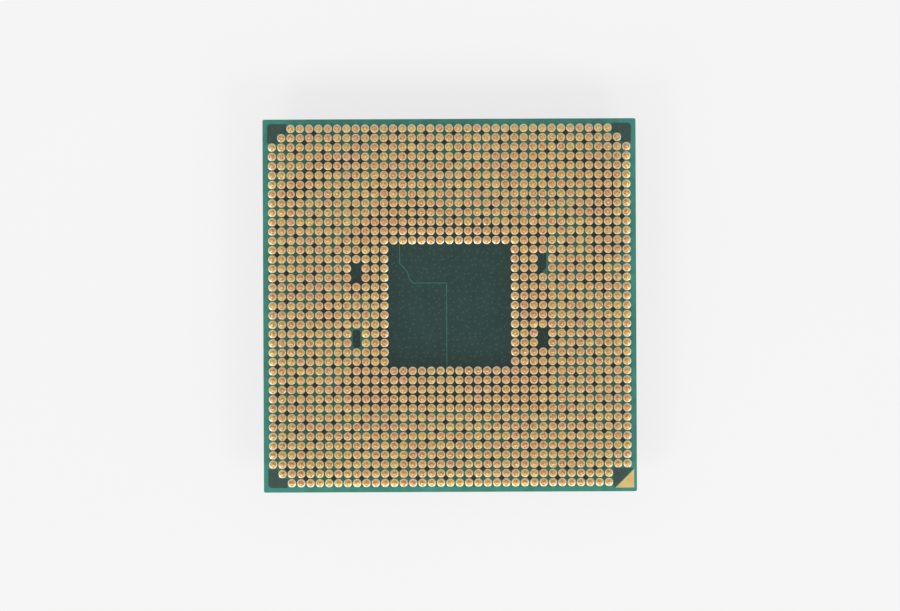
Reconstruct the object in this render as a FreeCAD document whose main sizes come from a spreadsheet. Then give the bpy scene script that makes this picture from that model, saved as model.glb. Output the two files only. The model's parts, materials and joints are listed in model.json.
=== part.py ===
"""A desktop computer processor: a square laminate package with a field of contact pins and a metal lid.

Frame: +Z points the way the pins stand. The origin is the centre of the lid's flat outer face, which is
the face that a heatsink presses on, so the package lies on its lid with its pins up. Millimetres.
"""

import FreeCAD, Part

import math
import os

import Sketcher

Vector = FreeCAD.Vector
Rotation = FreeCAD.Rotation

doc = FreeCAD.newDocument("processor")

# ---------------------------------------------------------------- driving dimensions

SIZES = {
    # laminate package
    "package_side": 40.0,
    "package_corner": 0.2,
    "core_thick": 0.8,
    "foil_thick": 0.03,
    "foil_inset": 0.4,
    "buildup_thick": 0.18,
    "mask_thick": 0.03,
    # contact pins
    "pitch": 1.0,
    "grid_half": 19,
    "void_half": 6,
    "pad_wide": 0.88,
    "pad_clear": 0.02,
    "pin_wide": 0.305,
    "pin_tall": 2.0,
    "pin_tip": 0.06,
    "head_wide": 0.62,
    "head_thick": 0.14,
    "head_gap": 0.02,
    "solder_rim": 0.015,
    "solder_tall": 0.11,
    # pin-one marks
    "mark_leg": 1.97,
    "mark_inset_x": 0.3,
    "mark_inset_y": 0.4,
    "plane_gap": 0.1,
    # lid
    "lid_side": 37.6,
    "lid_corner": 3.0,
    "lid_tall": 3.06,
    "plateau_side": 35.0,
    "plateau_corner": 2.4,
    "flange_thick": 1.2,
    "lid_round": 0.25,
    "cavity_side": 33.0,
    "cavity_corner": 1.6,
    "bead_thick": 0.12,
    "bead_wide": 1.5,
    "bead_vent": 3.0,
    # silicon, its bumps and what holds it
    "die_long": 22.06,
    "die_deep": 9.66,
    "die_thick": 0.75,
    "die_gap": 0.07,
    "bump_wide": 0.12,
    "bump_pitch": 0.7,
    "thermal_thick": 0.23,
    "patch_thick": 0.02,
    "patch_margin": 1.0,
    "underfill_foot": 0.9,
    "underfill_crest": 0.12,
    "underfill_climb": 0.5,
    "window_inset": 0.3,
    # decoupling capacitors
    "chip_long": 1.0,
    "chip_wide": 0.5,
    "chip_tall": 0.5,
    "cap_end_long": 0.24,
    "cap_end_skin": 0.02,
    "chip_joint": 0.03,
    "chip_step": 2.0,
    "chip_row_gap": 1.3,
}

# pin sites that stay empty so that the package fits its socket one way round, in steps of the pitch
KEY_GAPS = {(-10, 4), (-10, 3), (-10, -3), (-10, -4), (10, 5), (10, 4), (10, -3), (10, -4)}
MARK_CORNER = (1, -1)

# outline of the outer copper pour on the pin side, anticlockwise from the foot of the split
POUR_RIGHT = [
    (11, -11), (11, 2), (10, 2), (10, 3.7), (10.35, 4), (10.35, 5.5), (10, 5.8), (10, 9), (-2, 9), (-2, 11),
]
POUR_LEFT = [
    (-8, 11), (-8, 10), (-9, 10), (-9, 9), (-10, 9), (-10, 6), (-11, 5), (-11, 1),
    (-8, 1), (-8, -5), (-9, -5), (-9, -6), (-11, -6), (-11, -11),
]
# the split that parts the pour into two planes, from its foot to its head
POUR_SPLIT = [
    (-0.33, -11), (-0.33, 2.41), (-3.87, 2.41), (-4.34, 2.85), (-4.5, 3.6), (-5.33, 4.5), (-5.4, 11),
]
# smaller copper areas of the pin side's outer layer
COPPER_ARMS = [
    [(-18, 11), (-16, 11), (-11, 15), (-9, 15), (-9, 16), (-14, 16), (-18, 12.5)],
    [(-9, 12), (-5, 12), (-5, 13), (-9, 13)],
    [(-14, -2), (-12, -2), (-12, 1), (-14, 1)],
    [(-10.4, -2.8), (-10.4, -4.3), (-10.2, -4.5), (-9.8, -4.5),
     (-9.6, -4.3), (-9.6, -2.8), (-9.8, -2.6), (-10.2, -2.6)],
    [(12, 15), (15, 15), (15, 2), (17, 2), (17, 5), (18, 5), (18, 15), (15, 16), (12, 16)],
]
CORNER_COPPER = [
    [(19.5, 19.5), (17.5, 19.5), (17.5, 18.5), (18.5, 18.5), (18.5, 17.5), (19.5, 17.5)],
    [(-19.5, 19.5), (-19.5, 17.5), (-18.5, 17.5), (-18.5, 18.5), (-17.5, 18.5), (-17.5, 19.5)],
    [(-19.5, -19.5), (-17.5, -19.5), (-17.5, -18.5), (-18.5, -18.5), (-18.5, -17.5), (-19.5, -17.5)],
    [(17.5, -17.5), (17.5, -19.2), (19.2, -17.5)],
]

dims = doc.addObject("Spreadsheet::Sheet", "dims")
for row, (alias, value) in enumerate(SIZES.items(), start=1):
    dims.set(f"A{row}", alias)
    dims.set(f"B{row}", str(value))
    dims.setAlias(f"B{row}", alias)
doc.recompute()


def size(alias):
    """A driving dimension as a number."""
    return float(dims.get(alias))


# ---------------------------------------------------------------- heights, from the lid up

MASK_LID = "dims.lid_tall + dims.bead_thick"
COPPER_LID = f"{MASK_LID} + dims.mask_thick"
CORE_LOW = f"{COPPER_LID} + dims.buildup_thick"
CORE_HIGH = f"{CORE_LOW} + dims.core_thick"
COPPER_PIN = f"{CORE_HIGH} + dims.buildup_thick"
PAD_TOP = f"{COPPER_PIN} + dims.mask_thick"
DIE_TOP = f"{MASK_LID} - dims.die_gap"
DIE_LOW = f"{DIE_TOP} - dims.die_thick"
THERMAL_LOW = f"{DIE_LOW} - dims.thermal_thick"
CAVITY_TOP = f"{THERMAL_LOW} - dims.patch_thick"


def height(expression):
    """The value of one of the height expressions above."""
    total = 0.0
    for term in expression.replace("- ", "+ -").split("+"):
        name = term.strip()
        sign = -1.0 if name.startswith("-") else 1.0
        total += sign * size(name.lstrip("-").removeprefix("dims."))
    return total


# ---------------------------------------------------------------- ways of making a piece

def sketch_in(body, name, level=None):
    """A sketch on the body's own XY plane, raised to a height where one is given."""
    plane = next(f for f in body.Origin.OriginFeatures if f.Role == "XY_Plane")
    sketch = body.newObject("Sketcher::SketchObject", name)
    sketch.AttachmentSupport = [(plane, "")]
    sketch.MapMode = "FlatFace"
    if level:
        sketch.setExpression(".AttachmentOffset.Base.z", level)
    return sketch


def add_rounded(sketch, long, deep, corner):
    """A centred rectangle with round corners, its sizes bound to expressions."""
    half_x, half_y, r = 10.0, 8.0, 1.0
    ways = [(1, 1), (-1, 1), (-1, -1), (1, -1)]
    centres = [Vector(x * (half_x - r), y * (half_y - r), 0) for x, y in ways]
    arcs = []
    for turn, centre in enumerate(centres):
        circle = Part.Circle(centre, Vector(0, 0, 1), r)
        arc = Part.ArcOfCircle(circle, turn * math.pi / 2, (turn + 1) * math.pi / 2)
        arcs.append(sketch.addGeometry(arc))
    starts = [Vector(half_x - r, half_y, 0), Vector(-half_x, half_y - r, 0)]
    ends = [Vector(r - half_x, half_y, 0), Vector(-half_x, r - half_y, 0)]
    lines = []
    for side in (1, -1):
        for start, end in zip(starts, ends):
            lines.append(sketch.addGeometry(Part.LineSegment(start * side, end * side)))
    for turn in range(4):
        sketch.addConstraint(Sketcher.Constraint("Tangent", arcs[turn], 2, lines[turn], 1))
        sketch.addConstraint(Sketcher.Constraint("Tangent", lines[turn], 2, arcs[(turn + 1) % 4], 1))
    for turn in range(3):
        sketch.addConstraint(Sketcher.Constraint("Equal", arcs[turn], arcs[turn + 1]))
    for top_or_bottom in lines[::2]:
        sketch.addConstraint(Sketcher.Constraint("Horizontal", top_or_bottom))
    for left_or_right in lines[1::2]:
        sketch.addConstraint(Sketcher.Constraint("Vertical", left_or_right))
    sketch.addConstraint(Sketcher.Constraint("Symmetric", arcs[0], 3, arcs[2], 3, -1, 1))
    bound = [
        (Sketcher.Constraint("Radius", arcs[0], r), corner),
        (Sketcher.Constraint("DistanceX", lines[1], 1, lines[3], 1, 2 * half_x), long),
        (Sketcher.Constraint("DistanceY", lines[2], 1, lines[0], 1, 2 * half_y), deep),
    ]
    for constraint, expression in bound:
        index = sketch.addConstraint(constraint)
        sketch.setExpression(f"Constraints[{index}]", expression)


def add_outline(sketch, points):
    """A closed outline of straight sides through fixed points."""
    corners = [Vector(x, y, 0) for x, y in points]
    first = sketch.GeometryCount
    for start, end in zip(corners, corners[1:] + corners[:1]):
        side = sketch.addGeometry(Part.LineSegment(start, end))
        sketch.addConstraint(Sketcher.Constraint("Block", side))
    for side in range(len(corners)):
        after = (side + 1) % len(corners)
        sketch.addConstraint(Sketcher.Constraint("Coincident", first + side, 2, first + after, 1))


def add_pad(body, sketch, length, name="pad"):
    pad = body.newObject("PartDesign::Pad", name)
    pad.Profile = sketch
    pad.setExpression("Length", length)
    return pad


def new_body(label):
    body = doc.addObject("PartDesign::Body", label)
    body.Label = label
    body.AllowCompound = True
    return body


def rounded_plate(label, long, deep, corner, thick, level):
    """A flat plate with round corners."""
    body = new_body(label)
    sketch = sketch_in(body, f"{label}_outline", level)
    add_rounded(sketch, long, deep, corner)
    add_pad(body, sketch, thick)
    return body


def outline_plates(label, outlines, thick, level):
    """One or more flat plates with straight-sided outlines."""
    body = new_body(label)
    sketch = sketch_in(body, f"{label}_outline", level)
    for points in outlines:
        add_outline(sketch, points)
    add_pad(body, sketch, thick)
    return body


def block(label, long, deep, tall, level):
    """A centred rectangular block whose lower face is at a height."""
    box = doc.addObject("Part::Box", label)
    box.setExpression("Length", long)
    box.setExpression("Width", deep)
    box.setExpression("Height", tall)
    box.setExpression(".Placement.Base.x", f"-({long}) / 2")
    box.setExpression(".Placement.Base.y", f"-({deep}) / 2")
    box.setExpression(".Placement.Base.z", level)
    return box


def cut_from(label, base, tools):
    """The base without the space that the tools take."""
    space = doc.addObject("Part::Compound", f"{label}_space")
    space.Links = tools
    cut = doc.addObject("Part::Cut", label)
    cut.Base = base
    cut.Tool = space
    return cut


def copies(label, masters, places):
    """One node of identical separate solids: the masters' shapes at each (x, y, turn) place."""
    group = doc.addObject("Part::Feature", label)
    solids = []
    for x, y, turn in places:
        for master in masters:
            solid = master.Shape.copy()
            solid.rotate(Vector(0, 0, 0), Vector(0, 0, 1), turn)
            solid.translate(Vector(x, y, 0))
            solids.append(solid)
    group.Shape = Part.makeCompound(solids)
    group.Placement = FreeCAD.Placement()
    return group


def cylinder(label, wide, tall, level):
    """An upright cylinder on the Z axis."""
    made = doc.addObject("Part::Cylinder", label)
    made.setExpression("Radius", f"({wide}) / 2")
    made.setExpression("Height", tall)
    made.setExpression(".Placement.Base.z", level)
    return made


def cone(label, wide_low, wide_high, tall, level):
    """An upright cone on the Z axis, cut flat at both ends."""
    made = doc.addObject("Part::Cone", label)
    made.setExpression("Radius1", f"({wide_low}) / 2")
    made.setExpression("Radius2", f"({wide_high}) / 2")
    made.setExpression("Height", tall)
    made.setExpression(".Placement.Base.z", level)
    return made


def joined(label, pieces):
    made = doc.addObject("Part::MultiFuse", label)
    made.Shapes = pieces
    made.Refine = True
    return made


def confirm_cut(feature, before, volume):
    """Raises unless a pocket took the volume that it should from the shape before it."""
    taken = before.Shape.Volume - feature.Shape.Volume
    if abs(taken - volume) > 0.01 * volume:
        raise RuntimeError(f"{feature.Label} took {taken:.2f} mm3 in place of {volume:.2f} mm3")


# ---------------------------------------------------------------- where the pins stand

def has_pin(column, line):
    """Whether a site of the grid, in steps of the pitch from the centre, carries a pin."""
    half = int(size("grid_half"))
    void = int(size("void_half"))
    in_void = abs(column) <= void and abs(line) <= void
    in_corner = abs(column) + abs(line) >= 2 * half - 1
    in_mark = min(column * MARK_CORNER[0], line * MARK_CORNER[1]) >= half - 1
    return not (in_void or in_corner or in_mark or (column, line) in KEY_GAPS)


def pin_places():
    half = int(size("grid_half"))
    steps = range(-half, half + 1)
    pitch = size("pitch")
    return [(c * pitch, r * pitch, 0) for r in steps for c in steps if has_pin(c, r)]


def mark_outline():
    """The gold triangle's corners: its right angle lies at the package's corner."""
    x = MARK_CORNER[0] * (size("package_side") / 2 - size("mark_inset_x"))
    y = MARK_CORNER[1] * (size("package_side") / 2 - size("mark_inset_y"))
    leg = size("mark_leg")
    return [(x, y), (x, y - MARK_CORNER[1] * leg), (x - MARK_CORNER[0] * leg, y)]


def beside(points, distance):
    """An open line of straight runs, moved sideways to its left by a distance."""
    normals = []
    for (x0, y0), (x1, y1) in zip(points, points[1:]):
        long = math.hypot(x1 - x0, y1 - y0)
        normals.append(((y0 - y1) / long, (x1 - x0) / long))
    moved = []
    for index, (x, y) in enumerate(points):
        before = normals[max(index - 1, 0)]
        after = normals[min(index, len(normals) - 1)]
        scale = distance / (1 + before[0] * after[0] + before[1] * after[1])
        moved.append((x + (before[0] + after[0]) * scale, y + (before[1] + after[1]) * scale))
    return moved


# ---------------------------------------------------------------- the laminate package

def make_core():
    return rounded_plate(
        "substrate_core", "dims.package_side", "dims.package_side", "dims.package_corner",
        "dims.core_thick", CORE_LOW,
    )


def make_foil(label, level):
    """The copper foil on one face of the core."""
    side = "dims.package_side - 2 * dims.foil_inset"
    return rounded_plate(label, side, side, "dims.foil_inset", "dims.foil_thick", level)


def make_buildup(label, level, copper):
    """The dielectric on one side of the core, with that side's copper set into it."""
    blank = rounded_plate(
        f"{label}_blank", "dims.package_side", "dims.package_side", "dims.package_corner",
        "dims.buildup_thick", level,
    )
    return cut_from(label, blank, copper)


def make_planes(level):
    """The two halves of the pin side's copper pour, either side of the split."""
    gap = size("plane_gap") / 2
    right = beside(POUR_SPLIT, -gap)
    left = beside(POUR_SPLIT, gap)
    ground = outline_plates("ground_plane", [POUR_RIGHT + right[::-1]], "dims.foil_thick", level)
    power = outline_plates("power_plane", [left + POUR_LEFT], "dims.foil_thick", level)
    return ground, power


def make_pin_mask():
    """The solder mask on the pin side, open at every pad and at the corner mark."""
    half = size("package_side") / 2
    low = height(COPPER_PIN)
    corners = [(-half, -half), (half, -half), (half, half), (-half, half)]
    outer = Part.makePolygon([Vector(x, y, low) for x, y in corners + corners[:1]])
    mark = mark_outline()
    wires = [Part.makePolygon([Vector(x, y, low) for x, y in mark + mark[:1]])]
    radius = size("pad_wide") / 2 + size("pad_clear") / 2
    for x, y, _ in pin_places():
        wires.append(Part.Wire(Part.makeCircle(radius, Vector(x, y, low))))
    sheet = Part.Face([outer] + wires, "Part::FaceMakerBullseye")
    mask = doc.addObject("Part::Feature", "pin_side_mask")
    mask.Shape = sheet.extrude(Vector(0, 0, size("mask_thick")))
    mask.Placement = FreeCAD.Placement()
    return mask


def make_window(label):
    """The opening in the lid side's mask that the bumps stand in."""
    return rounded_plate(
        label, "dims.die_long - 2 * dims.window_inset", "dims.die_deep - 2 * dims.window_inset",
        "dims.window_inset", "dims.mask_thick", MASK_LID,
    )


def make_lid_mask(mark, joints):
    """The solder mask on the lid side, open under the die, at the mark and at each capacitor's joints."""
    blank = rounded_plate(
        "lid_mask_blank", "dims.package_side", "dims.package_side", "dims.package_corner",
        "dims.mask_thick", MASK_LID,
    )
    return cut_from("lid_side_mask", blank, [make_window("die_window"), mark, joints])


# ---------------------------------------------------------------- the contacts

def in_halves(label, master, places):
    """Copies of a contact piece as two groups, left and right of the middle."""
    left = [place for place in places if place[0] < 0]
    right = [place for place in places if place[0] >= 0]
    return [copies(f"{label}_left", [master], left), copies(f"{label}_right", [master], right)]


def make_contacts():
    """The pads, the solder on them and the nail-headed pins."""
    places = pin_places()
    pad = cylinder("pad_master", "dims.pad_wide", "dims.mask_thick", COPPER_PIN)
    head_low = f"{PAD_TOP} + dims.head_gap"
    head = cylinder("head_master", "dims.head_wide", "dims.head_thick", head_low)
    shaft_low = f"{head_low} + dims.head_thick"
    shaft_tall = "dims.pin_tall - dims.head_gap - dims.head_thick - dims.pin_tip"
    shaft = cylinder("shaft_master", "dims.pin_wide", shaft_tall, shaft_low)
    tip = cone(
        "tip_master", "dims.pin_wide", "dims.pin_wide - 2 * dims.pin_tip", "dims.pin_tip",
        f"{PAD_TOP} + dims.pin_tall - dims.pin_tip",
    )
    pin = joined("pin_master", [head, shaft, tip])
    rim = cylinder("rim_master", "dims.pad_wide", "dims.solder_rim", PAD_TOP)
    slope = cone(
        "slope_master", "dims.pad_wide", "dims.head_wide + 2 * dims.pad_clear", "dims.solder_tall",
        f"{PAD_TOP} + dims.solder_rim",
    )
    heap = joined("solder_heap", [rim, slope])
    solder = cut_from("solder_master", heap, [head])
    doc.recompute()
    return [
        copies("contact_pads", [pad], places),
        *in_halves("pin_solder", solder, places),
        *in_halves("contact_pins", pin, places),
    ]


# ---------------------------------------------------------------- the lid and the silicon

def make_lid():
    """The metal lid: a plateau that meets the heatsink, a wider flange and a cavity over the die."""
    body = new_body("heat_spreader")
    plateau = sketch_in(body, "plateau_outline")
    add_rounded(plateau, "dims.plateau_side", "dims.plateau_side", "dims.plateau_corner")
    add_pad(body, plateau, "dims.lid_tall", "plateau")
    flange = sketch_in(body, "flange_outline", "dims.lid_tall - dims.flange_thick")
    add_rounded(flange, "dims.lid_side", "dims.lid_side", "dims.lid_corner")
    upper = add_pad(body, flange, "dims.flange_thick", "flange")
    foot = sketch_in(body, "cavity_outline", "dims.lid_tall")
    add_rounded(foot, "dims.cavity_side", "dims.cavity_side", "dims.cavity_corner")
    cavity = body.newObject("PartDesign::Pocket", "cavity")
    cavity.Profile = foot
    cavity.setExpression("Length", f"dims.lid_tall - ({CAVITY_TOP})")
    doc.recompute()
    corner_loss = (4 - math.pi) * size("cavity_corner") ** 2
    floor = size("cavity_side") ** 2 - corner_loss
    confirm_cut(cavity, upper, floor * (size("lid_tall") - height(CAVITY_TOP)))
    rounded = body.newObject("PartDesign::Fillet", "worn_edges")
    rounded.Base = (cavity, outer_edges(cavity.Shape))
    rounded.setExpression("Radius", "dims.lid_round")
    return body


def outer_edges(shape):
    """The names of the edges round the lid's flat face and round the flange's outer step."""
    levels = (0.0, size("lid_tall") - size("flange_thick"))
    reach = (size("plateau_side") / 2, size("lid_side") / 2)
    names = []
    for index, edge in enumerate(shape.Edges, start=1):
        box = edge.BoundBox
        furthest = max(abs(box.XMin), abs(box.XMax), abs(box.YMin), abs(box.YMax))
        for level, half in zip(levels, reach):
            flat = box.ZLength < 1e-6 and abs(box.ZMin - level) < 1e-6
            if flat and abs(furthest - half) < 1e-6:
                names.append(f"Edge{index}")
    return names


def make_bead():
    """The sealant under the lid's foot: a ring with a vent left open at one side."""
    body = new_body("sealant_ring")
    ring = sketch_in(body, "bead_outline", "dims.lid_tall")
    middle = "(dims.lid_side + dims.cavity_side) / 2"
    add_rounded(ring, f"{middle} + dims.bead_wide", f"{middle} + dims.bead_wide", "dims.lid_corner")
    add_rounded(ring, f"{middle} - dims.bead_wide", f"{middle} - dims.bead_wide", "dims.cavity_corner")
    add_pad(body, ring, "dims.bead_thick")
    vent = block("vent_space", "dims.bead_vent", "dims.lid_side", "dims.bead_thick", "dims.lid_tall")
    vent.setExpression(".Placement.Base.y", "dims.cavity_side / 4")
    return cut_from("lid_sealant", body, [vent])


def make_underfill(die, bumps):
    """The resin under the die and round its foot."""
    wedge = doc.addObject("Part::Wedge", "underfill_heap")
    long_half = "dims.die_long / 2"
    deep_half = "dims.die_deep / 2"
    for low, high, half, spread in (
        ("Xmin", "Xmax", long_half, "dims.underfill_foot"),
        ("Zmin", "Zmax", deep_half, "dims.underfill_foot"),
        ("X2min", "X2max", long_half, "dims.underfill_crest"),
        ("Z2min", "Z2max", deep_half, "dims.underfill_crest"),
    ):
        wedge.setExpression(low, f"-({half} + {spread})")
        wedge.setExpression(high, f"{half} + {spread}")
    wedge.Ymin = 0
    wedge.setExpression("Ymax", "dims.die_gap + dims.underfill_climb")
    wedge.Placement.Rotation = Rotation(Vector(1, 0, 0), -90)
    wedge.setExpression(".Placement.Base.z", MASK_LID)
    full = joined("underfill_full", [wedge, make_window("window_fill")])
    return cut_from("underfill", full, [die, bumps])


def make_bumps():
    """The solder bumps under the die, on a square grid inside the mask's window."""
    bump = cylinder("bump_master", "dims.bump_wide", "dims.die_gap + dims.mask_thick", DIE_TOP)
    doc.recompute()
    margin = size("window_inset") + size("bump_wide")
    pitch = size("bump_pitch")
    across = int((size("die_long") / 2 - margin) / pitch)
    deep = int((size("die_deep") / 2 - margin) / pitch)
    places = [
        (c * pitch, r * pitch, 0) for r in range(-deep, deep + 1) for c in range(-across, across + 1)
    ]
    return copies("die_bumps", [bump], places)


# ---------------------------------------------------------------- the decoupling capacitors

def chip_places():
    """Where the decoupling capacitors stand: two rows along each long side and one column at each end."""
    step = size("chip_step")
    row_gap = size("chip_row_gap")
    beyond_y = size("die_deep") / 2 + 2 * row_gap
    beyond_x = size("die_long") / 2 + 2 * row_gap
    rows = [side * (beyond_y + k * row_gap) for side in (-1, 1) for k in (0, 1)]
    places = [((k - 4.5) * step, y, 0) for y in rows for k in range(10)]
    places += [(side * beyond_x, (k - 2) * step, 90) for side in (-1, 1) for k in range(5)]
    return places


def make_chips():
    """The capacitors beside the die: ceramic bodies, their metal ends and the solder under the ends."""
    places = chip_places()
    chip_top = f"{MASK_LID} - dims.chip_joint"
    chip_low = f"{chip_top} - dims.chip_tall"
    middle_long = "dims.chip_long - 2 * dims.cap_end_long"
    ceramic = block(
        "ceramic_master", middle_long, "dims.chip_wide - 2 * dims.cap_end_skin",
        "dims.chip_tall - 2 * dims.cap_end_skin", f"{chip_low} + dims.cap_end_skin",
    )
    ends, joints = [], []
    for name, place in (("left", "-dims.chip_long / 2"), ("right", "dims.chip_long / 2 - dims.cap_end_long")):
        end = block(f"{name}_end_master", "dims.cap_end_long", "dims.chip_wide", "dims.chip_tall", chip_low)
        joint = block(
            f"{name}_joint_master", "dims.cap_end_long", "dims.chip_wide",
            "dims.chip_joint + dims.mask_thick", chip_top,
        )
        for piece, group in ((end, ends), (joint, joints)):
            piece.setExpression(".Placement.Base.x", place)
            group.append(piece)
    doc.recompute()
    return [
        copies("capacitor_bodies", [ceramic], places),
        copies("capacitor_ends", ends, places),
        copies("capacitor_joints", joints, places),
    ]


# ---------------------------------------------------------------- the assembly

def build():
    """Makes every sub-part and returns them."""
    foil_lid = make_foil("lid_side_core_foil", f"{CORE_LOW} - dims.foil_thick")
    foil_pin = make_foil("pin_side_core_foil", CORE_HIGH)
    lid_plane = make_foil("lid_side_plane", COPPER_LID)
    pin_copper_low = f"{COPPER_PIN} - dims.foil_thick"
    ground, power = make_planes(pin_copper_low)
    signal = outline_plates("signal_copper", COPPER_ARMS, "dims.foil_thick", pin_copper_low)
    corners = outline_plates("corner_copper", CORNER_COPPER, "dims.foil_thick", pin_copper_low)
    pin_copper = [foil_pin, ground, power, signal, corners]
    pin_mark = outline_plates("pin_side_mark", [mark_outline()], "dims.mask_thick", COPPER_PIN)
    lid_mark = outline_plates("lid_side_mark", [mark_outline()], "dims.mask_thick", MASK_LID)
    die = block("silicon_die", "dims.die_long", "dims.die_deep", "dims.die_thick", DIE_LOW)
    thermal = block("thermal_solder", "dims.die_long", "dims.die_deep", "dims.thermal_thick", THERMAL_LOW)
    patch = block(
        "lid_gold_patch", "dims.die_long + 2 * dims.patch_margin", "dims.die_deep + 2 * dims.patch_margin",
        "dims.patch_thick", CAVITY_TOP,
    )
    bumps = make_bumps()
    chips = make_chips()
    return [
        make_core(), foil_lid, foil_pin, lid_plane, ground, power, signal, corners,
        make_buildup("lid_side_buildup", COPPER_LID, [foil_lid, lid_plane]),
        make_buildup("pin_side_buildup", CORE_HIGH, pin_copper),
        make_lid_mask(lid_mark, chips[-1]), make_pin_mask(), pin_mark, lid_mark,
        *make_contacts(), make_lid(), make_bead(), patch, thermal, die, bumps,
        make_underfill(die, bumps), *chips,
    ]


def check(parts):
    """Raises if any object failed or any sub-part has no sound shape."""
    doc.recompute()
    failed = [o.Label for o in doc.Objects if {"Invalid", "Error"} & set(o.State)]
    unsound = [p.Label for p in parts if p.Shape.isNull() or not p.Shape.isValid()]
    if failed or unsound:
        raise RuntimeError(f"failed: {failed}; unsound: {unsound}")


def write(parts):
    os.makedirs("parts", exist_ok=True)
    for part in parts:
        part.Shape.exportStep(f"parts/{part.Label}.step")
        print(f"{part.Label}: {len(part.Shape.Solids)} solids, {part.Shape.Volume:.3f} mm3")


sub_parts = build()
check(sub_parts)
write(sub_parts)
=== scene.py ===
"""The looks of a desktop computer processor that lies on its lid with its contact pins up.

Lengths are metres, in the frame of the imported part: +Z the way the pins stand, the origin at the
centre of the lid's flat outer face.
"""

import json
import math

import bpy
import numpy as np
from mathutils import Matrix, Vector, geometry


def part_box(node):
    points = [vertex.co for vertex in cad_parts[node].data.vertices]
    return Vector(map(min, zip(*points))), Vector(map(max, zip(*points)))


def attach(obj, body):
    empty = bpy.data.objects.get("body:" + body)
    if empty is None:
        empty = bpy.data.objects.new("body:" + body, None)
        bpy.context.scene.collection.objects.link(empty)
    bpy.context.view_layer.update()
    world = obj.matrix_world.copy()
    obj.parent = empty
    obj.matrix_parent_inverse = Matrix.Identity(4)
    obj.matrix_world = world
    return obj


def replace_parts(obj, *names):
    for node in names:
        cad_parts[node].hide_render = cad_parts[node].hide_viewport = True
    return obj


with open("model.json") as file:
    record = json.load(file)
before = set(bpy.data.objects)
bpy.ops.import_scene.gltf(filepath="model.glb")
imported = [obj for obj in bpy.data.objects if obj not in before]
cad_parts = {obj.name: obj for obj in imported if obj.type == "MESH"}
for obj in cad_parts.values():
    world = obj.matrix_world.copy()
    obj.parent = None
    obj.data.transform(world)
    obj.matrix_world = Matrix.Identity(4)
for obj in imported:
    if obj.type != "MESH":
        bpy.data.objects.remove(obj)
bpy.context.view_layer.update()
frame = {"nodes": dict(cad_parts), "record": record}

MM = 0.001
RNG = np.random.default_rng(7)

# ---------------------------------------------------------------- sizes from the frame

PITCH = 1.0 * MM
GRID_HALF = 19
MASK_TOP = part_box("pin_side_mask")[1].z
COPPER_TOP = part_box("pin_side_mask")[0].z
HEAD_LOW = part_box("contact_pins_right")[0].z
PIN_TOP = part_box("contact_pins_right")[1].z
LID_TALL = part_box("heat_spreader")[1].z
LID_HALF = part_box("heat_spreader")[1].x
PAD_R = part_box("contact_pads")[1].x - GRID_HALF * PITCH
HEAD_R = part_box("contact_pins_right")[1].x - GRID_HALF * PITCH
SHAFT_R = 0.1525 * MM
HEAD_THICK = 0.14 * MM
SKIN_RISE = 0.012 * MM
BANKS_PER_SIDE = 2
ROUND = 20
# in millimetres, as outlines are
PACKAGE_CORNER = 0.2
COPPER_EDGE = 19.5
MASK_CLEAR = 0.01
SKIN_CLEAR = 0.03
PLATEAU_HALF = 17.5
PLATEAU_CORNER = 2.4
CAVITY_HALF = 16.5
CAVITY_CORNER = 1.6
FLANGE_THICK = 1.2
# the mask's dark strip between the corner copper and the gold mark's long side
BESIDE_MARK = [
    (17.52, -19.18), (17.52, -19.5), (17.7, -19.5), (19.6, -17.6), (19.6, -17.52), (19.18, -17.52),
]
# one via land in every third cell along the field's diagonals, less the few that are left out
VIA_STEP = 3
VIA_SHARE = 0.9


# ---------------------------------------------------------------- mesh helpers

def new_piece(name, verts, faces, material, smooth=True, body="root"):
    """A mesh object that rides on the body and takes the material it is given."""
    mesh = bpy.data.meshes.new(name)
    mesh.from_pydata([tuple(v) for v in verts], [], [tuple(int(i) for i in f) for f in faces])
    mesh.polygons.foreach_set("use_smooth", [smooth] * len(mesh.polygons))
    mesh.update()
    piece = bpy.data.objects.new(name, mesh)
    bpy.context.scene.collection.objects.link(piece)
    mesh.materials.append(material)
    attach(piece, body)
    return piece


def lathe(profile, steps):
    """Vertices and faces of a profile of (radius, height) points turned about Z, closed at its two ends."""
    angles = np.arange(steps) * 2 * math.pi / steps
    ring = np.stack([np.cos(angles), np.sin(angles), np.zeros(steps)], axis=1)
    verts, faces, starts = [], [], []
    for radius, z in profile:
        starts.append(len(verts))
        if radius == 0:
            verts.append((0.0, 0.0, z))
        else:
            verts.extend((radius * ring + (0, 0, z)).tolist())
    for (r0, _), (r1, _), a, b in zip(profile, profile[1:], starts, starts[1:]):
        for i in range(steps):
            j = (i + 1) % steps
            if r0 == 0:
                faces.append((a, b + j, b + i))
            elif r1 == 0:
                faces.append((a + i, a + j, b))
            else:
                faces.append((a + i, a + j, b + j, b + i))
    return np.array(verts), faces


def rounded_ring(half, corner, z, steps=14):
    """Points round a square with round corners, anticlockwise from above, in the unit they are given in."""
    points = []
    for turn in range(4):
        start = turn * math.pi / 2
        centre_x = (half - corner) * (1 if turn in (0, 3) else -1)
        centre_y = (half - corner) * (1 if turn in (0, 1) else -1)
        for k in range(steps + 1):
            angle = start + k / steps * math.pi / 2
            points.append((centre_x + corner * math.cos(angle), centre_y + corner * math.sin(angle), z))
    return points


def arc(centre, radius, start, end, steps=5):
    """(out, up) points along an arc, with its angles in degrees."""
    angles = [math.radians(start + (end - start) * k / steps) for k in range(steps + 1)]
    return [(centre[0] + radius * math.cos(a), centre[1] + radius * math.sin(a)) for a in angles]


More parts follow.
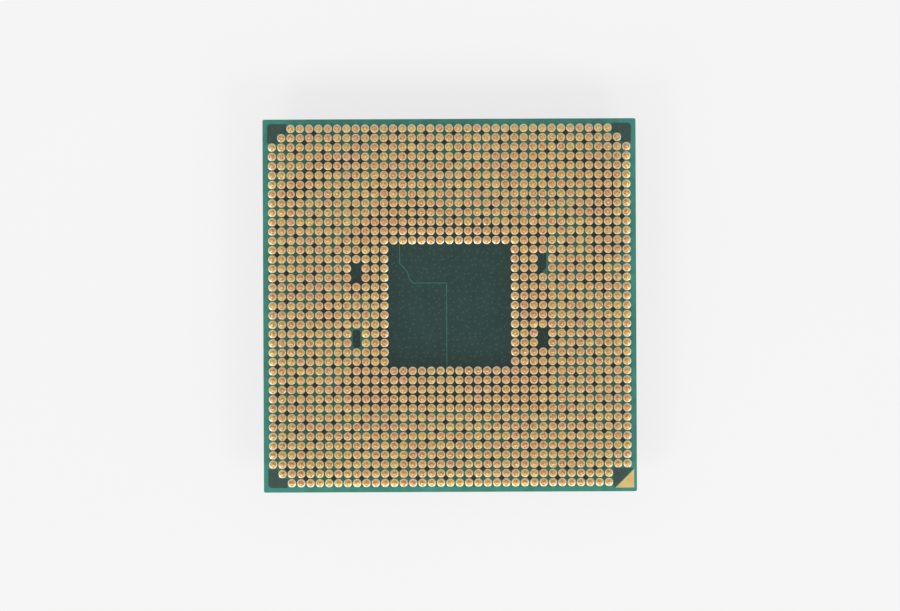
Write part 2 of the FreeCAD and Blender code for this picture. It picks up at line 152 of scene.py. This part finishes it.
def repeated(verts, faces, places):
    """One mesh of copies at places, and the number of the copy that each vertex belongs to."""
    count = len(verts)
    turns = RNG.uniform(0, 2 * math.pi, len(places))
    all_verts, all_faces = [], []
    for number, ((x, y), turn) in enumerate(zip(places, turns)):
        c, s = math.cos(turn), math.sin(turn)
        turned = verts @ np.array([[c, s, 0], [-s, c, 0], [0, 0, 1]])
        all_verts.append(turned + (x, y, 0))
        all_faces.extend([tuple(i + number * count for i in f) for f in faces])
    owner = np.repeat(np.arange(len(places)), count)
    return np.concatenate(all_verts), all_faces, owner


def set_tone(piece, values):
    """A number from 0 to 1 on each vertex, which materials read as 'tone'."""
    layer = piece.data.attributes.new("tone", "FLOAT", "POINT")
    layer.data.foreach_set("value", np.asarray(values, np.float32))


def top_outlines(node):
    """The outlines of a flat CAD node's upper face, as lists of (x, y) in millimetres."""
    mesh = frame["nodes"][node].data
    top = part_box(node)[1].z
    at = [v.co for v in mesh.vertices]
    key = [(round(v.x / MM, 4), round(v.y / MM, 4)) for v in at]
    after = {}
    used = {}
    for polygon in mesh.polygons:
        if all(abs(at[i].z - top) < 1e-7 for i in polygon.vertices) and polygon.normal.z > 0.5:
            corners = [key[i] for i in polygon.vertices]
            for a, b in zip(corners, corners[1:] + corners[:1]):
                used[(a, b)] = True
    for a, b in used:
        if (b, a) not in used:
            after[a] = b
    loops = []
    while after:
        start, at_point = next(iter(after.items()))
        loop = [start]
        del after[start]
        while at_point != start:
            loop.append(at_point)
            at_point = after.pop(at_point)
        loops.append(loop)
    return loops


def inside(points, loop):
    """Which points lie inside a closed outline."""
    x, y = points[:, 0], points[:, 1]
    hit = np.zeros(len(points), bool)
    for (x0, y0), (x1, y1) in zip(loop, loop[1:] + loop[:1]):
        if y0 != y1:
            crosses = (y0 > y) != (y1 > y)
            hit ^= crosses & (x < (x1 - x0) * (y - y0) / (y1 - y0) + x0)
    return hit


# ---------------------------------------------------------------- materials

def node_material(name, base, rough, metallic=0.0, **inputs):
    """A principled material with its uniform values set on the shader, and its node tools."""
    material = bpy.data.materials.new(name)
    material.use_nodes = True
    tree = material.node_tree
    shader = tree.nodes["Principled BSDF"]
    shader.inputs["Base Color"].default_value = (*base, 1)
    shader.inputs["Roughness"].default_value = rough
    shader.inputs["Metallic"].default_value = metallic
    for key, value in inputs.items():
        shader.inputs[key.replace("_", " ")].default_value = value
    return material, tree, shader


def object_coordinates(tree, stretch=(1, 1, 1)):
    """The point in the part's frame, in millimetres times the stretch."""
    coordinates = tree.nodes.new("ShaderNodeTexCoord")
    mapping = tree.nodes.new("ShaderNodeMapping")
    mapping.inputs["Scale"].default_value = [s / MM for s in stretch]
    tree.links.new(coordinates.outputs["Object"], mapping.inputs["Vector"])
    return mapping.outputs["Vector"]


def noise(tree, scale, detail=3.0, stretch=(1, 1, 1), rough=0.5):
    """Noise with so many features to the millimetre."""
    made = tree.nodes.new("ShaderNodeTexNoise")
    made.inputs["Scale"].default_value = scale
    made.inputs["Detail"].default_value = detail
    made.inputs["Roughness"].default_value = rough
    tree.links.new(object_coordinates(tree, stretch), made.inputs["Vector"])
    return made.outputs["Fac"]


def ramp(tree, factor, stops):
    """Colours along a factor, from (place, (r, g, b)) stops."""
    made = tree.nodes.new("ShaderNodeValToRGB")
    elements = made.color_ramp.elements
    while len(elements) < len(stops):
        elements.new(0.5)
    for element, (place, colour) in zip(elements, stops):
        element.position = place
        element.color = (*colour, 1)
    tree.links.new(factor, made.inputs["Fac"])
    return made.outputs["Color"]


def value_ramp(tree, factor, low, high, start=0.0, end=1.0):
    """A number that goes from low to high as the factor goes from start to end."""
    made = tree.nodes.new("ShaderNodeMapRange")
    for socket, value in (("From Min", start), ("From Max", end), ("To Min", low), ("To Max", high)):
        made.inputs[socket].default_value = value
    tree.links.new(factor, made.inputs["Value"])
    return made.outputs["Result"]


def mixed(tree, factor, a, b, blend="MIX"):
    """Two colours mixed, each a socket or an (r, g, b)."""
    made = tree.nodes.new("ShaderNodeMix")
    made.data_type = "RGBA"
    made.blend_type = blend
    for socket, value in ((made.inputs[0], factor), (made.inputs[6], a), (made.inputs[7], b)):
        if isinstance(value, (int, float)):
            socket.default_value = value
        elif isinstance(value, tuple):
            socket.default_value = (*value, 1)
        else:
            tree.links.new(value, socket)
    return made.outputs[2]


def add_bump(tree, shader, height, distance, strength=1.0):
    """Relief on the surface, with its height in metres at a factor of 1."""
    bump = tree.nodes.new("ShaderNodeBump")
    bump.inputs["Strength"].default_value = strength
    bump.inputs["Distance"].default_value = distance
    tree.links.new(height, bump.inputs["Height"])
    before = shader.inputs["Normal"]
    if before.is_linked:
        tree.links.new(before.links[0].from_socket, bump.inputs["Normal"])
    tree.links.new(bump.outputs["Normal"], before)


def attribute(tree, name):
    """A number that the mesh carries on its vertices."""
    made = tree.nodes.new("ShaderNodeAttribute")
    made.attribute_name = name
    return made.outputs["Fac"]


def mottled(name, stops, rough, scale, relief, metallic=0.0, stretch=(1, 1, 1), **inputs):
    """A material whose colour, gloss and relief vary with noise."""
    material, tree, shader = node_material(name, stops[0][1], rough[0], metallic, **inputs)
    broad = noise(tree, scale, stretch=stretch)
    fine = noise(tree, scale * 6, detail=2.0, stretch=stretch)
    tree.links.new(ramp(tree, broad, stops), shader.inputs["Base Color"])
    tree.links.new(value_ramp(tree, fine, *rough, 0.35, 0.65), shader.inputs["Roughness"])
    add_bump(tree, shader, fine, relief * MM)
    return material


def pin_gold():
    """Gold plating: each pin has its own tone, with faint drawn streaks along its shaft."""
    material, tree, shader = node_material("pin_gold", (0.6, 0.36, 0.12), 0.26, 1.0)
    tone = ramp(tree, attribute(tree, "tone"), [
        (0.0, (0.98, 0.74, 0.25)), (0.4, (0.97, 0.67, 0.26)),
        (0.75, (0.95, 0.56, 0.22)), (1.0, (0.96, 0.60, 0.34)),
    ])
    blotch = ramp(tree, noise(tree, 5.0, detail=4.0), [
        (0.38, (0.52, 0.40, 0.27)), (0.5, (0.9, 0.9, 0.88)), (0.62, (1, 1, 1)),
    ])
    tree.links.new(mixed(tree, 0.75, tone, blotch, "MULTIPLY"), shader.inputs["Base Color"])
    streaks = noise(tree, 14.0, detail=2.0, stretch=(1, 1, 0.06))
    tree.links.new(value_ramp(tree, streaks, 0.24, 0.48, 0.35, 0.65), shader.inputs["Roughness"])
    add_bump(tree, shader, streaks, 0.004 * MM)
    add_bump(tree, shader, noise(tree, 7.0, detail=2.0), 0.014 * MM)
    return material


def pin_solder():
    """Reflowed solder: pale and bright, tinted by the gold that dissolved in it, with a wavy skin."""
    material, tree, shader = node_material("pin_solder", (0.72, 0.64, 0.5), 0.3, 0.6)
    tone = ramp(tree, attribute(tree, "tone"), [
        (0.0, (0.94, 0.89, 0.67)), (0.5, (0.94, 0.88, 0.72)), (1.0, (0.94, 0.85, 0.74)),
    ])
    patches = ramp(tree, noise(tree, 3.5), [
        (0.3, (0.86, 0.74, 0.52)), (0.5, (1, 1, 1)), (0.75, (1, 1, 1)),
    ])
    tree.links.new(mixed(tree, 0.8, tone, patches, "MULTIPLY"), shader.inputs["Base Color"])
    grain = noise(tree, 20.0, detail=3.0)
    tree.links.new(value_ramp(tree, grain, 0.2, 0.4, 0.35, 0.65), shader.inputs["Roughness"])
    add_bump(tree, shader, noise(tree, 5.0, detail=2.0), 0.014 * MM)
    add_bump(tree, shader, grain, 0.002 * MM)
    return material


def shade_among_pins(tree):
    """1 among the pins, where the lacquer is darkened with painted shade between the pins, and 0 on the
    package's rim.
    """
    split = tree.nodes.new("ShaderNodeSeparateXYZ")
    tree.links.new(object_coordinates(tree), split.inputs[0])
    sides = []
    for axis in ("X", "Y"):
        made = tree.nodes.new("ShaderNodeMath")
        made.operation = "ABSOLUTE"
        tree.links.new(split.outputs[axis], made.inputs[0])
        sides.append(made.outputs[0])
    furthest = tree.nodes.new("ShaderNodeMath")
    furthest.operation = "MAXIMUM"
    for side, socket in zip(sides, furthest.inputs):
        tree.links.new(side, socket)
    return value_ramp(tree, furthest.outputs[0], 1.0, 0.0, COPPER_EDGE - 0.2, COPPER_EDGE)


def solder_mask(name, stops, dots):
    """Green lacquer: glossy, with faint flow marks and dust, and where it lies over a copper plane
    the small pale dots of the holes that let the laminate breathe; elsewhere, painted shade among the pins."""
    material, tree, shader = node_material(name, stops[0][1], 0.3, IOR=1.5)
    colour = ramp(tree, noise(tree, 0.55, detail=5.0, rough=0.6), stops)
    if dots is None:
        # painted shade: the lacquer among the pins is darkened, as shade that falls between the pins
        colour = mixed(tree, shade_among_pins(tree), colour, (0.95, 0.74, 0.66), "MULTIPLY")
    else:
        cells = tree.nodes.new("ShaderNodeTexVoronoi")
        cells.voronoi_dimensions = "2D"
        cells.inputs["Scale"].default_value = 1.55
        cells.inputs["Randomness"].default_value = 0.85
        tree.links.new(object_coordinates(tree), cells.inputs["Vector"])
        dot = value_ramp(tree, cells.outputs["Distance"], 0.8, 0.0, 0.08, 0.2)
        colour = mixed(tree, dot, colour, dots)
        add_bump(tree, shader, cells.outputs["Distance"], 0.004 * MM, 0.3)
    tree.links.new(colour, shader.inputs["Base Color"])
    specks = noise(tree, 6.0, detail=6.0, rough=0.7)
    tree.links.new(value_ramp(tree, specks, 0.22, 0.42, 0.3, 0.7), shader.inputs["Roughness"])
    add_bump(tree, shader, noise(tree, 2.0, detail=4.0), 0.004 * MM)
    return material


def glass_laminate():
    """Glass-epoxy core seen on its sawn edge: resin with pale bundles of glass lying in layers."""
    material, tree, shader = node_material("glass_laminate", (0.3, 0.33, 0.15), 0.55)
    bundles = noise(tree, 1.3, detail=4.0, stretch=(1, 1, 9))
    colour = ramp(tree, bundles, [
        (0.3, (0.10, 0.17, 0.07)), (0.48, (0.24, 0.30, 0.13)), (0.62, (0.46, 0.46, 0.26)),
    ])
    tree.links.new(colour, shader.inputs["Base Color"])
    saw = noise(tree, 5.0, detail=3.0, stretch=(1, 1, 0.15))
    tree.links.new(value_ramp(tree, saw, 0.45, 0.75, 0.35, 0.65), shader.inputs["Roughness"])
    add_bump(tree, shader, saw, 0.01 * MM)
    return material


def nickel_plate():
    """Nickel plating on the pressed copper lid: satin, with a fine grain and faint press lines down
    its sides."""
    material, tree, shader = node_material("nickel_plate", (0.6, 0.58, 0.55), 0.3, 1.0)
    cloud = noise(tree, 0.25, detail=4.0)
    tree.links.new(ramp(tree, cloud, [
        (0.3, (0.52, 0.50, 0.47)), (0.55, (0.61, 0.59, 0.56)), (0.75, (0.66, 0.645, 0.62)),
    ]), shader.inputs["Base Color"])
    lines = noise(tree, 2.5, detail=3.0, stretch=(1, 1, 0.05))
    tree.links.new(value_ramp(tree, lines, 0.22, 0.4, 0.3, 0.7), shader.inputs["Roughness"])
    add_bump(tree, shader, lines, 0.004 * MM)
    add_bump(tree, shader, noise(tree, 12.0, detail=2.0), 0.0015 * MM)
    return material


def mark_gold():
    """Gold plating over the flat corner mark, matte and a little uneven."""
    return mottled(
        "mark_gold", [(0.3, (0.90, 0.66, 0.24)), (0.5, (1.0, 0.74, 0.30)), (0.7, (1.0, 0.77, 0.31))],
        (0.28, 0.5), 1.2, 0.006, metallic=1.0,
    )


MATERIALS = {
    "pin_gold": pin_gold(),
    "solder": mottled(
        "solder_alloy", [(0.3, (0.55, 0.54, 0.52)), (0.7, (0.72, 0.71, 0.68))], (0.25, 0.45), 3.0, 0.01,
        metallic=1.0,
    ),
    "pin_solder": pin_solder(),
    "solder_mask": solder_mask(
        "mask_on_laminate", [(0.3, (0.028, 0.20, 0.155)), (0.7, (0.042, 0.275, 0.222))], None,
    ),
    "mask_on_copper": solder_mask(
        "mask_on_copper", [(0.3, (0.007, 0.036, 0.031)), (0.7, (0.013, 0.046, 0.040))],
        (0.032, 0.085, 0.077),
    ),
    "mask_on_corners": solder_mask(
        "mask_on_corner_copper", [(0.3, (0.027, 0.064, 0.053)), (0.7, (0.038, 0.078, 0.066))],
        (0.045, 0.10, 0.09),
    ),
    "laminate": glass_laminate(),
    "buildup": mottled(
        "buildup_resin", [(0.3, (0.018, 0.16, 0.11)), (0.7, (0.03, 0.23, 0.16))], (0.35, 0.6), 1.5, 0.006,
        stretch=(1, 1, 4),
    ),
    "copper": mottled(
        "copper_foil", [(0.3, (0.55, 0.24, 0.13)), (0.7, (0.72, 0.36, 0.22))], (0.3, 0.5), 1.0, 0.004,
        metallic=1.0,
    ),
    "gold": mark_gold(),
    "nickel": nickel_plate(),
    "sealant": mottled(
        "silicone", [(0.3, (0.012, 0.012, 0.013)), (0.7, (0.03, 0.03, 0.031))], (0.4, 0.65), 1.2, 0.03,
    ),
    "silicon": mottled(
        "silicon", [(0.3, (0.06, 0.065, 0.08)), (0.7, (0.10, 0.105, 0.12))], (0.08, 0.15), 0.5, 0.0005,
        metallic=0.6,
    ),
    "resin": mottled(
        "epoxy_resin", [(0.3, (0.03, 0.028, 0.022)), (0.7, (0.06, 0.052, 0.04))], (0.2, 0.4), 0.8, 0.01,
    ),
    "ceramic_chip": mottled(
        "ceramic", [(0.3, (0.25, 0.15, 0.08)), (0.7, (0.36, 0.23, 0.13))], (0.45, 0.65), 4.0, 0.004,
    ),
    "tin": mottled(
        "tin_plate", [(0.3, (0.5, 0.5, 0.49)), (0.7, (0.68, 0.68, 0.66))], (0.3, 0.5), 4.0, 0.005,
        metallic=1.0,
    ),
}


def paint_cad_nodes():
    """Gives each CAD node the material of its slot."""
    for entry in frame["record"]["subparts"]:
        mesh = frame["nodes"][entry["node"]].data
        mesh.materials.clear()
        mesh.materials.append(MATERIALS[entry["material_slot"]])


# ---------------------------------------------------------------- the contacts

def pin_places():
    """The pins' sites as whole numbers of pitches, read from the CAD pads."""
    vertices = frame["nodes"]["contact_pads"].data.vertices
    sites = {(round(v.co.x / PITCH), round(v.co.y / PITCH)) for v in vertices}
    return sorted(sites)


SITES = pin_places()


def pin_profile():
    """A nail-headed pin from the underside of its head to its rounded tip."""
    shoulder = HEAD_LOW + HEAD_THICK
    return [
        (0, HEAD_LOW), (HEAD_R - 0.03 * MM, HEAD_LOW), (HEAD_R, HEAD_LOW + 0.03 * MM),
        (HEAD_R, shoulder - 0.045 * MM), (HEAD_R - 0.012 * MM, shoulder - 0.015 * MM),
        (HEAD_R - 0.045 * MM, shoulder), (SHAFT_R + 0.05 * MM, shoulder - 0.006 * MM),
        (SHAFT_R + 0.016 * MM, shoulder + 0.012 * MM), (SHAFT_R, shoulder + 0.05 * MM),
        (SHAFT_R, PIN_TOP - 0.075 * MM), (SHAFT_R - 0.014 * MM, PIN_TOP - 0.035 * MM),
        (SHAFT_R - 0.045 * MM, PIN_TOP - 0.01 * MM), (SHAFT_R - 0.085 * MM, PIN_TOP),
        (0, PIN_TOP - 0.004 * MM),
    ]


def solder_profile():
    """The solder round a pin's head: it spreads over the pad and climbs the head's side."""
    climb = [(-0.010, 0.0), (-0.016, 0.03), (-0.004, 0.06), (0.024, 0.086), (0.06, 0.104), (0.096, 0.114)]
    outside = [(PAD_R - back * MM, MASK_TOP + up * MM) for back, up in climb]
    lip = [(HEAD_R + 0.012 * MM, MASK_TOP + 0.112 * MM), (HEAD_R - 0.004 * MM, MASK_TOP + 0.1 * MM)]
    cup = [(HEAD_R - 0.004 * MM, MASK_TOP + 0.03 * MM), (0, MASK_TOP + 0.015 * MM)]
    return [(0, MASK_TOP + 0.001 * MM)] + outside + lip + cup


def make_contacts():
    """The pins and their solder in banks, each copy turned at random and with a tone of its own."""
    kinds = (
        ("pin", lathe(pin_profile(), ROUND), "pin_gold", "pin_gold", "contact_pins"),
        ("solder", lathe(solder_profile(), ROUND), "solder", "pin_solder", "pin_solder"),
    )
    tone_of = dict(zip(SITES, RNG.beta(2.0, 2.0, len(SITES))))
    sides = {"left": [s for s in SITES if s[0] < 0], "right": [s for s in SITES if s[0] >= 0]}
    for side, sites in sides.items():
        for number, bank in enumerate(np.array_split(np.array(sites), BANKS_PER_SIDE), start=1):
            tones = np.array([tone_of[tuple(site)] for site in bank.tolist()])
            for kind, (verts, faces), slot, material, node in kinds:
                bank_verts, bank_faces, owner = repeated(verts, faces, bank * PITCH)
                piece = new_piece(
                    f"{kind}_bank_{side}_{number}", bank_verts, bank_faces, MATERIALS[material],
                )
                set_tone(piece, tones[owner])
                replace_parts(piece, f"{node}_{side}")


# ---------------------------------------------------------------- the mask over copper

def grown(loop, by):
    """A closed outline with each side moved outwards, and its corners kept sharp."""
    points = np.array(loop)
    ahead = np.roll(points, -1, axis=0) - points
    ahead /= np.linalg.norm(ahead, axis=1)[:, None]
    turn = np.sum(points[:, 0] * np.roll(points[:, 1], -1) - points[:, 1] * np.roll(points[:, 0], -1))
    normals = np.column_stack([ahead[:, 1], -ahead[:, 0]]) * math.copysign(1, turn)
    before = np.roll(normals, 1, axis=0)
    scale = by / (1 + np.sum(before * normals, axis=1))
    return [tuple(p) for p in points + (before + normals) * scale[:, None]]


def eased(loop, radius=0.4):
    """An outline with its corners nearest the package's corners made round."""
    out = []
    reach = COPPER_EDGE - 0.05
    for x, y in loop:
        if min(abs(x), abs(y)) < reach:
            out.append((x, y))
            continue
        sx, sy = math.copysign(1, x), math.copysign(1, y)
        arc_points = [
            (x - sx * radius * (1 - math.cos(a)), y - sy * radius * (1 - math.sin(a)))
            for a in (k * math.pi / 12 for k in range(7))
        ]
        last = out[-1] if out else loop[-1]
        out += arc_points if abs(last[0] - x) < abs(last[1] - y) else arc_points[::-1]
    return out


def pierced_sheet(name, loops, hole, low, high, material):
    """A closed sheet with those outlines, in millimetres, and a round hole at every pad inside them."""
    sites = set(SITES)
    angles = [k * 2 * math.pi / ROUND for k in range(ROUND)]
    points, edges = [], []

    def add_loop(loop):
        first = len(points)
        points.extend(Vector(p) for p in loop)
        edges.extend((first + k, first + (k + 1) % len(loop)) for k in range(len(loop)))

    for loop in loops:
        add_loop(loop)
    least = np.min([np.min(loop, axis=0) for loop in loops], axis=0) - 1
    most = np.max([np.max(loop, axis=0) for loop in loops], axis=0) + 1
    for i, j in SITES:
        if least[0] <= i <= most[0] and least[1] <= j <= most[1]:
            add_loop([(i + hole * math.cos(a), j + hole * math.sin(a)) for a in angles])
    verts, _, faces, *_ = geometry.delaunay_2d_cdt(points, edges, [], 0, 1e-6)
    flat = np.array([tuple(v) for v in verts])
    middle = np.array([flat[list(f)].mean(axis=0) for f in faces])
    keep = np.zeros(len(faces), bool)
    for loop in loops:
        keep ^= inside(middle, loop)
    nearest = np.round(middle)
    open_site = np.array([tuple(int(k) for k in n) in sites for n in nearest])
    keep &= ~(open_site & (np.hypot(*(middle - nearest).T) < hole))
    kept = [tuple(f) for f, k in zip(faces, keep) if k]
    sides = {(a, b) for face in kept for a, b in zip(face, face[1:] + face[:1])}
    border = [(a, b) for a, b in sides if (b, a) not in sides]
    used = sorted({i for face in kept for i in face})
    at = {old: new for new, old in enumerate(used)}
    count = len(used)
    upper = np.column_stack([flat[used] * MM, np.full(count, high)])
    lower = np.column_stack([flat[used] * MM, np.full(count, low)])
    top = [tuple(at[i] for i in face) for face in kept]
    bottom = [tuple(i + count for i in reversed(face)) for face in top]
    wall = [(at[b], at[a], at[a] + count, at[b] + count) for a, b in sorted(border)]
    return new_piece(
        name, np.concatenate([upper, lower]), top + bottom + wall, material, smooth=False,
    )


def raised_skin(name, loops, material="mask_on_copper"):
    """The mask where it lies over copper: a little higher than the rest, open round every pad."""
    pierced_sheet(
        name, loops, PAD_R / MM + SKIN_CLEAR, MASK_TOP - SKIN_RISE, MASK_TOP + SKIN_RISE,
        MATERIALS[material],
    )


def make_mask_sheet():
    """The lacquer over the whole pin side, open at the pads and at the gold mark."""
    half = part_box("pin_side_mask")[1].x / MM
    rim = [(x, y) for x, y, _ in rounded_ring(half, PACKAGE_CORNER, 0, steps=4)]
    mark_low, mark_high = (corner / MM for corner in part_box("pin_side_mark"))
    mark = [(mark_high.x, mark_low.y), (mark_high.x, mark_high.y), (mark_low.x, mark_low.y)]
    sheet = pierced_sheet(
        "mask_sheet", [rim, mark], PAD_R / MM + MASK_CLEAR, COPPER_TOP, MASK_TOP,
        MATERIALS["solder_mask"],
    )
    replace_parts(sheet, "pin_side_mask")


def make_pads():
    """The gold-plated pads under the solder, with eased rims."""
    eased_rim = [
        (0, COPPER_TOP), (PAD_R, COPPER_TOP), (PAD_R, MASK_TOP - 0.006 * MM),
        (PAD_R - 0.006 * MM, MASK_TOP), (0, MASK_TOP),
    ]
    verts, faces, _ = repeated(*lathe(eased_rim, ROUND), [(i * PITCH, j * PITCH) for i, j in SITES])
    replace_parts(new_piece("pad_field", verts, faces, MATERIALS["gold"]), "contact_pads")


def near_copper(x, y, loops):
    """Whether copper lies under any part of a round land at a place."""
    turns = np.arange(8) * math.pi / 4
    spots = np.column_stack([x + 0.3 * np.cos(turns), y + 0.3 * np.sin(turns)])
    return any(inside(spots, loop).any() for loop in loops)


def make_mask_relief():
    """The raised mask over the planes, the smaller copper areas and the lands of the vias."""
    groups = {
        "skin_over_ground": "ground_plane", "skin_over_power": "power_plane",
        "skin_over_signal": "signal_copper", "skin_over_corners": "corner_copper",
    }
    covered = []
    for name, node in groups.items():
        loops = [eased(grown(loop, 0.012)) for loop in top_outlines(node)]
        covered += loops
        raised_skin(name, loops, "mask_on_corners" if node == "corner_copper" else "mask_on_copper")
    raised_skin("skin_beside_mark", [BESIDE_MARK], "mask_on_corners")
    covered.append(BESIDE_MARK)
    land = [
        (0, MASK_TOP - SKIN_RISE), (0.29 * MM, MASK_TOP - SKIN_RISE), (0.28 * MM, MASK_TOP + SKIN_RISE * 0.6),
        (0.26 * MM, MASK_TOP + SKIN_RISE), (0.1 * MM, MASK_TOP + SKIN_RISE), (0, MASK_TOP + SKIN_RISE * 0.4),
    ]
    places = []
    for i in range(-GRID_HALF, GRID_HALF):
        for j in range(-GRID_HALF, GRID_HALF):
            x, y = i + 0.5, j + 0.5
            if (i - j) % VIA_STEP == 0 and not near_copper(x, y, covered) and RNG.random() < VIA_SHARE:
                places.append((x * PITCH, y * PITCH))
    verts, faces, _ = repeated(*lathe(land, 12), places)
    new_piece("skin_over_vias", verts, faces, MATERIALS["mask_on_copper"])


# ---------------------------------------------------------------- the lid and its sealant

def make_lid():
    """The pressed lid: a flat plateau, a step out to the flange and the cavity over the die."""
    tall, half, edge = LID_TALL / MM, LID_HALF / MM, 0.28
    step_z = tall - FLANGE_THICK
    cavity_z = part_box("lid_gold_patch")[0].z / MM
    outline = arc((PLATEAU_HALF - edge, edge), edge, -90, 0)
    outline += arc((PLATEAU_HALF + 0.12, step_z - 0.12), 0.12, 180, 90, 3)
    outline += arc((half - edge, step_z + edge), edge, -90, 0)
    outline += arc((half - 0.08, tall - 0.08), 0.08, 0, 90, 3)
    outline += [(CAVITY_HALF, tall), (CAVITY_HALF, cavity_z + 0.2), (CAVITY_HALF - 0.2, cavity_z)]
    verts, faces = [], []
    for out, up in outline:
        corner = PLATEAU_CORNER + (out - PLATEAU_HALF) * 0.5 if out > CAVITY_HALF else CAVITY_CORNER
        verts.extend(rounded_ring(out * MM, corner * MM, up * MM))
    count = len(verts) // len(outline)
    for ring in range(len(outline) - 1):
        a, b = ring * count, (ring + 1) * count
        for k in range(count):
            n = (k + 1) % count
            faces.append((a + k, a + n, b + n, b + k))
    faces.append(tuple(range(count))[::-1])
    faces.append(tuple(range(len(verts) - count, len(verts))))
    lid = new_piece("pressed_lid", verts, faces, MATERIALS["nickel"])
    for polygon in lid.data.polygons:
        if len(polygon.vertices) > 4:
            polygon.use_smooth = False
    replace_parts(lid, "heat_spreader")


def make_sealant():
    """The squeezed bead under the lid's foot, uneven along its edges and open at one vent."""
    low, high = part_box("lid_sealant")
    half_wide, vent_half, spacing = 0.75 * MM, 1.5 * MM, 0.4 * MM
    middle = (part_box("heat_spreader")[1].x + CAVITY_HALF * MM) / 2
    path = np.array(rounded_ring(middle, 2.3 * MM, 0, steps=24))[:, :2]
    dense = []
    for a, b in zip(path, np.roll(path, -1, axis=0)):
        count = max(1, int(np.linalg.norm(b - a) / spacing))
        dense.extend(a + (b - a) * k / count for k in range(count))
    dense = np.array(dense)
    vent = (dense[:, 1] > 0) & (np.abs(dense[:, 0]) < vent_half)
    start = int(np.argmax(vent & ~np.roll(vent, -1))) + 1
    dense = np.roll(dense, -start, axis=0)[: int((~vent).sum())]
    ahead = np.gradient(dense, axis=0)
    ahead /= np.linalg.norm(ahead, axis=1)[:, None]
    outward = np.column_stack([ahead[:, 1], -ahead[:, 0]])
    section = [(-1, 0), (-1.05, 0.5), (-1, 1), (1, 1), (1.05, 0.5), (1, 0)]
    along = np.arange(len(dense))
    waver = 1 + 0.09 * np.sin(along * 0.31) + 0.06 * np.sin(along * 0.83 + 1.3)
    waver += 0.04 * RNG.standard_normal(len(dense))
    verts, faces = [], []
    for point, side, wide in zip(dense, outward, waver):
        for across, up in section:
            spot = point + side * across * wide * half_wide
            verts.append((*spot, low.z + (high.z - low.z) * up))
    count = len(section)
    for ring in range(len(dense) - 1):
        for k in range(count):
            n = (k + 1) % count
            a, b = ring * count, (ring + 1) * count
            faces.append((a + k, b + k, b + n, a + n))
    faces.append(tuple(range(count)))
    faces.append(tuple(range(len(verts) - count, len(verts)))[::-1])
    bead = new_piece("sealant_bead", verts, faces, MATERIALS["sealant"])
    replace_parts(bead, "lid_sealant")


# ---------------------------------------------------------------- floor, light and camera

def make_floor():
    """A pale table, lit from within so that shadows on it stay faint."""
    mesh = bpy.data.meshes.new("table")
    steps, reach = 64, 2.5
    angles = [k * 2 * math.pi / steps for k in range(steps)]
    rim = [(reach * math.cos(a), reach * math.sin(a), 0) for a in angles]
    mesh.from_pydata(rim, [], [tuple(range(steps))])
    table = bpy.data.objects.new("table", mesh)
    bpy.context.scene.collection.objects.link(table)
    material, tree, shader = node_material("pale_table", (0.15, 0.15, 0.15), 0.7)
    shader.inputs["Emission Color"].default_value = (1, 1, 1, 1)
    shader.inputs["Emission Strength"].default_value = 0.737
    shade = ramp(tree, noise(tree, 0.02), [(0.3, (0.147, 0.147, 0.147)), (0.7, (0.153, 0.153, 0.153))])
    tree.links.new(shade, shader.inputs["Base Color"])
    mesh.materials.append(material)


def area_light(name, place, size, power):
    """A square softbox that faces the part."""
    data = bpy.data.lights.new(name, "AREA")
    data.shape = "SQUARE"
    data.size = size
    data.energy = power
    light = bpy.data.objects.new(name, data)
    light.location = place
    light.rotation_mode = "QUATERNION"
    light.rotation_quaternion = Vector(place).to_track_quat("Z", "Y")
    bpy.context.scene.collection.objects.link(light)


def make_light():
    """An even white surround, with a softbox low on each side of the near edge."""
    world = bpy.data.worlds.new("studio")
    world.use_nodes = True
    background = world.node_tree.nodes["Background"]
    background.inputs["Color"].default_value = (1, 1, 1, 1)
    background.inputs["Strength"].default_value = 0.6
    bpy.context.scene.world = world
    bpy.context.scene.view_settings.view_transform = "Standard"
    area_light("left_softbox", (-0.7, -0.8, 0.75), 0.5, 6.5)
    area_light("right_softbox", (0.7, -0.8, 0.75), 0.5, 6.5)


def make_camera():
    """A long lens straight above the pins, which takes in a width of 96.5 mm at the mask."""
    data = bpy.data.cameras.new("camera")
    far, across = 1.1, 96.5 * MM
    data.sensor_width = 36.0
    data.lens = data.sensor_width * far / across
    data.clip_start, data.clip_end = 0.05, 10.0
    camera = bpy.data.objects.new("camera", data)
    camera.location = (0.03 * MM, -0.01 * MM, MASK_TOP + far)
    camera.rotation_euler = (0, 0, math.radians(-0.24))
    bpy.context.scene.collection.objects.link(camera)
    bpy.context.scene.camera = camera


paint_cad_nodes()
make_contacts()
make_pads()
make_mask_sheet()
make_mask_relief()
make_lid()
make_sealant()
make_floor()
make_light()
make_camera()
